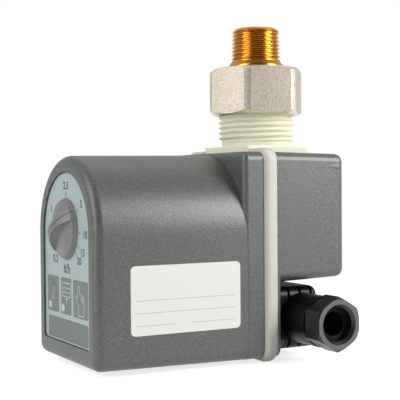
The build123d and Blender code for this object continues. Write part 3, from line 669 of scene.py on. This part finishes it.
nipple = {
    "pitch": 1.337 * mm,
    "depth": 0.80 * mm,
    "crest": 8.33 * mm,  # at the gauge plane, which is at height 0
    "taper": 1 / 32,
    "runOut": 0.7 * mm,
    "runIn": 0.35 * mm,
    "columns": 120,
    "perPitch": 14,
    "waist": 9.8 * mm,
    "bore": 5.5 * mm,
    "collar": 11.9 * mm,
    "collarHeight": 4.0 * mm,
    "shoulderAbove": 1.2 * mm,  # above the nut
    "shoulderTurn": 0.08 * mm,
    "coneHeight": 1.6 * mm,
    "coneTurn": 0.10 * mm,
    "turnHeight": 0.25 * mm,
    "mouthChamfer": 1.1 * mm,
    "mouth": ((0.40, 0.55), (1.00, 0.10), (1.25, 0.0)),  # in and down, millimetres
    "boreChamfer": 0.5 * mm,
}


def makeNipple():
    low = nippleLow.z
    top = nippleHigh.z
    shoulder = nutHigh.z + nipple["shoulderAbove"]
    cone = shoulder + nipple["coneHeight"]
    threadEnd = top - nipple["mouthChamfer"]

    def crest(height):
        return nipple["crest"] - height * nipple["taper"]

    before = [
        (nipple["bore"], low),
        (nipple["collar"], low),
        (nipple["collar"], low + nipple["collarHeight"]),
        (nipple["waist"], low + nipple["collarHeight"]),
        (nipple["waist"], shoulder - nipple["turnHeight"]),
        (nipple["waist"] - nipple["shoulderTurn"], shoulder),
        (crest(cone) + nipple["coneTurn"], cone - nipple["turnHeight"]),
        (crest(cone), cone),
    ]
    after = [(crest(threadEnd) - inwards * mm, top - down * mm) for inwards, down in nipple["mouth"]]
    after += [
        (nipple["bore"] + nipple["boreChamfer"], top),
        (nipple["bore"], top - nipple["boreChamfer"]),
        (nipple["bore"], low),
    ]
    thread = {**nipple, "low": cone, "high": threadEnd, "crest": crest}
    verts, faces = threadedTurning(before, thread, after)
    obj = newPiece("inletNippleThreaded", verts, faces, "turnedBrass", "root", sharp=35)
    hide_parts("inlet_nipple")


makeNipple()
print("nipple cut")


spigot = {
    "pitch": 1.814 * mm,
    "depth": 1.10 * mm,
    "crest": 13.2 * mm,
    "core": 11.95 * mm,
    "skin": 0.02 * mm,
    "startAbove": 2.55 * mm,  # above the housing
    "stopAboveNutFoot": 0.25 * mm,
    "growth": (1.2 * mm, 2.6 * mm),  # the first turn grows out of the plain neck here
    "runOut": 1.0 * mm,
    "runIn": 0.1 * mm,
    "columns": 144,
    "perPitch": 16,
}


def makeSpigotThread():
    low = housingTop + spigot["startAbove"]
    high = nutLow.z + spigot["stopAboveNutFoot"]
    root = spigot["crest"] - spigot["depth"] + spigot["skin"]
    first, last = spigot["growth"]

    def crest(height):
        return root + (spigot["crest"] - root) * smoothStep(height, low + first, low + last)

    before = [(spigot["core"], low)]
    after = [(spigot["core"], high)]
    thread = {**spigot, "low": low, "high": high, "crest": crest}
    verts, faces = threadedTurning(before, thread, after)
    newPiece("spigotThread", verts, faces, "ivoryNylon", "root", sharp=60)


makeSpigotThread()
print("spigot thread wound")


# Boxes, numbers, unit, dial and ticks are in millimetres across the panel and below the housing's top
panel = {
    "thick": 0.020 * mm,
    "boxTop": 39.8 * mm,
    "boxFoot": 51.5 * mm,
    "boxSpans": ((-16.9, -6.9), (-5.0, 3.7), (5.3, 17.3)),
    "band": (-16.4, 17.4, 53.0, 59.9),
    "corner": 0.8 * mm,
    "textSize": 3.3 * mm,
    "textStretch": 1.1,
    "unitSize": 4.3 * mm,
    "unitStretch": 1.0,
    "bold": 0.022,
    "numbers": {
        "0.2": (-9.5, -34.2),
        "1": (-12.9, -18.1),
        "2.5": (-0.1, -10.6),
        "5": (12.4, -16.3),
        "10": (15.3, -25.6),
        "15": (13.2, -31.2),
        "20": (10.5, -33.9),
    },
    "unit": ("lt/h", (0.3, -36.9)),
    "dialDrop": 24.2,
    "tickSpan": (10.4, 11.6),
    "lineWidth": 0.30 * mm,
    "lampWindow": 1.25 * mm,
    "lampSteps": 40,
}

# Lines of the three pictograms, as (x, drop) points in millimetres
pictograms = {
    "mainsSign": [
        [(-11.6 + 0.9 * cos(a), -42.0 + 0.9 * sin(a)) for a in (i * pi / 8 for i in range(17))],
        [(-11.4, -42.9), (-11.8, -44.3), (-11.2, -45.3), (-12.7, -46.1), (-11.6, -46.8), (-13.1, -47.6)],
    ],
    "tankSign": [
        [(-3.9, -41.5), (3.2, -41.5), (3.2, -45.8), (-3.9, -45.8), (-3.9, -41.5)],
        [(-2.9, -43.2), (-1.7, -42.9), (-0.5, -43.3), (0.7, -42.9), (2.3, -43.2)],
        [(-2.9, -44.6), (-1.7, -44.3), (-0.5, -44.7), (0.7, -44.3), (2.2, -44.6)],
        [(-0.3, -45.8), (-0.3, -48.0)],
        [(-1.4, -46.6), (0.9, -46.6)],
    ],
    "handSign": [
        [
            (9.6, -50.7), (9.1, -47.3), (7.5, -45.6), (7.3, -44.7), (8.2, -44.5), (9.1, -45.6),
            (9.1, -42.0), (9.9, -41.4), (10.7, -42.0), (10.9, -44.1), (11.8, -43.9), (12.1, -44.5),
            (12.9, -44.1), (13.2, -44.8), (13.9, -44.6), (14.0, -50.7), (9.6, -50.7),
        ],
        [(12.1, -44.5), (12.1, -46.2)],
        [(13.2, -44.8), (13.2, -46.2)],
    ],
}


def flatShape(points, y, thick):
    # A thin plate in the panel's plane from an outline of (x, z) points
    count = len(points)
    verts = [(x, y, z) for x, z in points]
    verts += [(x, y + thick, z) for x, z in points]
    faces = [list(range(count)), [2 * count - 1 - i for i in range(count)]]
    for i in range(count):
        j = (i + 1) % count
        faces.append([i, j, count + j, count + i])
    return verts, faces


def roundedBox(left, right, foot, top, corner, steps=6):
    points = []
    centres = (
        (right - corner, top - corner, 0),
        (left + corner, top - corner, 90),
        (left + corner, foot + corner, 180),
        (right - corner, foot + corner, 270),
    )
    for cx, cz, start in centres:
        for i in range(steps + 1):
            angle = radians(start + 90 * i / steps)
            points.append((cx + corner * cos(angle), cz + corner * sin(angle)))
    return points


def panelPiece(name, points, finish, lift=0):
    y = overlayFace - panel["thick"] * (1 + lift)
    verts, faces = flatShape(points, y, panel["thick"])
    newPiece(name, verts, faces, finish, "root", smooth=False)


def strokes(name, lines, finish, lift):
    # Drawn lines of one sign, each a thin bar, joined into one piece
    half = panel["lineWidth"] / 2
    y = overlayFace - panel["thick"] * (1 + lift)
    verts = []
    faces = []
    for line in lines:
        for (ax, az), (bx, bz) in zip(line, line[1:]):
            run = hypot(bx - ax, bz - az)
            ux = (bx - ax) / run * half
            uz = (bz - az) / run * half
            corners = [
                (ax - ux - uz, az - uz + ux), (bx + ux - uz, bz + uz + ux),
                (bx + ux + uz, bz + uz - ux), (ax - ux + uz, az - uz - ux),
            ]
            bar, sides = flatShape(corners, y, panel["thick"])
            faces += [[i + len(verts) for i in side] for side in sides]
            verts += bar
    newPiece(name, verts, faces, finish, "root", smooth=False)


def panelText(name, words, size, stretch, place):
    # Outlined at size 1 and then scaled down, because small outlines fill badly
    data = bpy.data.curves.new(name, "FONT")
    data.body = words
    data.align_x = "CENTER"
    data.align_y = "CENTER"
    data.extrude = panel["thick"] / 2 / size
    data.resolution_u = 5
    data.offset = panel["bold"]
    text = bpy.data.objects.new(name + "Outline", data)
    bpy.context.scene.collection.objects.link(text)
    bpy.context.view_layer.update()
    mesh = bpy.data.meshes.new_from_object(text)
    bpy.data.objects.remove(text)
    mesh.transform(Matrix.Diagonal((stretch * size, size, size, 1)))
    mesh.transform(Matrix.Rotation(radians(90), 4, "X"))
    mesh.transform(Matrix.Translation((place[0], overlayFace - panel["thick"] / 2, place[1])))
    mesh.name = name
    mesh.materials.clear()
    mesh.materials.append(finishes["darkInk"])
    obj = bpy.data.objects.new(name, mesh)
    bpy.context.scene.collection.objects.link(obj)
    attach(obj, "root")


def onPanel(points):
    return [(x * mm, housingTop + z * mm) for x, z in points]


def makePanelPrint():
    for i, (left, right) in enumerate(panel["boxSpans"]):
        outline = roundedBox(
            left * mm, right * mm,
            housingTop - panel["boxFoot"], housingTop - panel["boxTop"], panel["corner"],
        )
        panelPiece("panelField%d" % (i + 1), outline, "boxInk")
    left, right, top, foot = (value * mm for value in panel["band"])
    outline = roundedBox(left, right, housingTop - foot, housingTop - top, panel["corner"])
    panelPiece("panelBand", outline, "boxInk")
    for i, (words, spot) in enumerate(panel["numbers"].items()):
        place = onPanel([spot])[0]
        panelText("dialNumber%d" % (i + 1), words, panel["textSize"], panel["textStretch"], place)
    words, spot = panel["unit"]
    panelText("dialUnit", words, panel["unitSize"], panel["unitStretch"], onPanel([spot])[0])


def makeTicks():
    near, far = panel["tickSpan"]
    ticks = []
    for x, z in panel["numbers"].values():
        angle = atan2(z + panel["dialDrop"], x)
        tick = [(r * cos(angle), r * sin(angle) - panel["dialDrop"]) for r in (near, far)]
        ticks.append(onPanel(tick))
    strokes("dialTicks", ticks, "darkInk", 0)


def makePictograms():
    for name, lines in pictograms.items():
        strokes(name, [onPanel(line) for line in lines], "lightInk", 1)


def makeLampWindows():
    for i, node in enumerate(("led_power", "led_drain")):
        low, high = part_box(node)
        centre = (low + high) / 2
        ring = []
        for j in range(panel["lampSteps"]):
            angle = 2 * pi * j / panel["lampSteps"]
            x = centre.x + panel["lampWindow"] * cos(angle)
            ring.append((x, centre.z + panel["lampWindow"] * sin(angle)))
        panelPiece("lampWindow%d" % (i + 1), ring, "lampLens", 1)


makePanelPrint()
makeTicks()
makePictograms()
makeLampWindows()
print("panel printed")


pointer = {
    "angle": 37.0,
    "reach": (-8.7, 9.5),  # millimetres from the knob's axis
    "steps": 48,
    "half": 0.17 * mm,
    "lift": 0.02 * mm,
    "castFrom": 10 * mm,  # in front of the knob
}


def surfaceOf(node):
    obj = nodes[node]
    verts = [obj.matrix_world @ v.co for v in obj.data.vertices]
    return BVHTree.FromPolygons(verts, [tuple(p.vertices) for p in obj.data.polygons])


def makePointer():
    # The printed line along the crest of the knob, laid on the knob's own surface
    surface = surfaceOf("selector_knob")
    way = Vector((cos(radians(pointer["angle"])), 0, sin(radians(pointer["angle"]))))
    side = Vector((-way.z, 0, way.x)) * pointer["half"]
    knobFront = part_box("selector_knob")[0].y
    centre = Vector((0, knobFront - pointer["castFrom"], housingTop - panel["dialDrop"] * mm))
    first, last = pointer["reach"]
    verts = []
    for i in range(pointer["steps"] + 1):
        along = (first + (last - first) * i / pointer["steps"]) * mm
        for edge in (side, -side):
            hit = surface.ray_cast(centre + way * along + edge, Vector((0, 1, 0)))[0]
            verts.append(hit - Vector((0, pointer["lift"], 0)))
            verts.append(hit + Vector((0, pointer["lift"], 0)))
    faces = []
    for i in range(pointer["steps"]):
        a = 4 * i
        faces.append((a, a + 2, a + 6, a + 4))
        faces.append((a + 1, a + 5, a + 7, a + 3))
        faces.append((a, a + 4, a + 5, a + 1))
        faces.append((a + 2, a + 3, a + 7, a + 6))
    end = 4 * pointer["steps"]
    faces.append((0, 1, 3, 2))
    faces.append((end, end + 2, end + 3, end + 1))
    newPiece("knobPointer", verts, faces, "pointerInk", "knob")


makePointer()
print("pointer laid on the knob")


label = {
    # start, end and height of each rule, as shares of the label
    "rules": [(0.05, 0.95, 0.50), (0.05, 0.95, 0.32), (0.05, 0.40, 0.14), (0.55, 0.95, 0.14)],
    "half": 0.09 * mm,
    "lift": 0.02 * mm,
    "castFrom": 0.1,  # clear of the part
}


def makeLabelRules():
    surface = surfaceOf("rating_label")
    verts = []
    faces = []
    bar = ((0, 2, 6, 4), (1, 5, 7, 3), (0, 4, 5, 1), (2, 3, 7, 6), (0, 1, 3, 2), (4, 6, 7, 5))
    for near, far, share in label["rules"]:
        height = labelLow.z + (labelHigh.z - labelLow.z) * share
        first = len(verts)
        for along in (near, far):
            y = labelLow.y + (labelHigh.y - labelLow.y) * along
            for rise in (-label["half"], label["half"]):
                start = Vector((label["castFrom"], y, height + rise))
                hit = surface.ray_cast(start, Vector((-1, 0, 0)))[0]
                verts.append(hit + Vector((label["lift"], 0, 0)))
                verts.append(hit - Vector((label["lift"], 0, 0)))
        faces += [[first + corner for corner in face] for face in bar]
    newPiece("labelRules", verts, faces, "ruleInk", "root", smooth=False)


makeLabelRules()
print("label ruled")
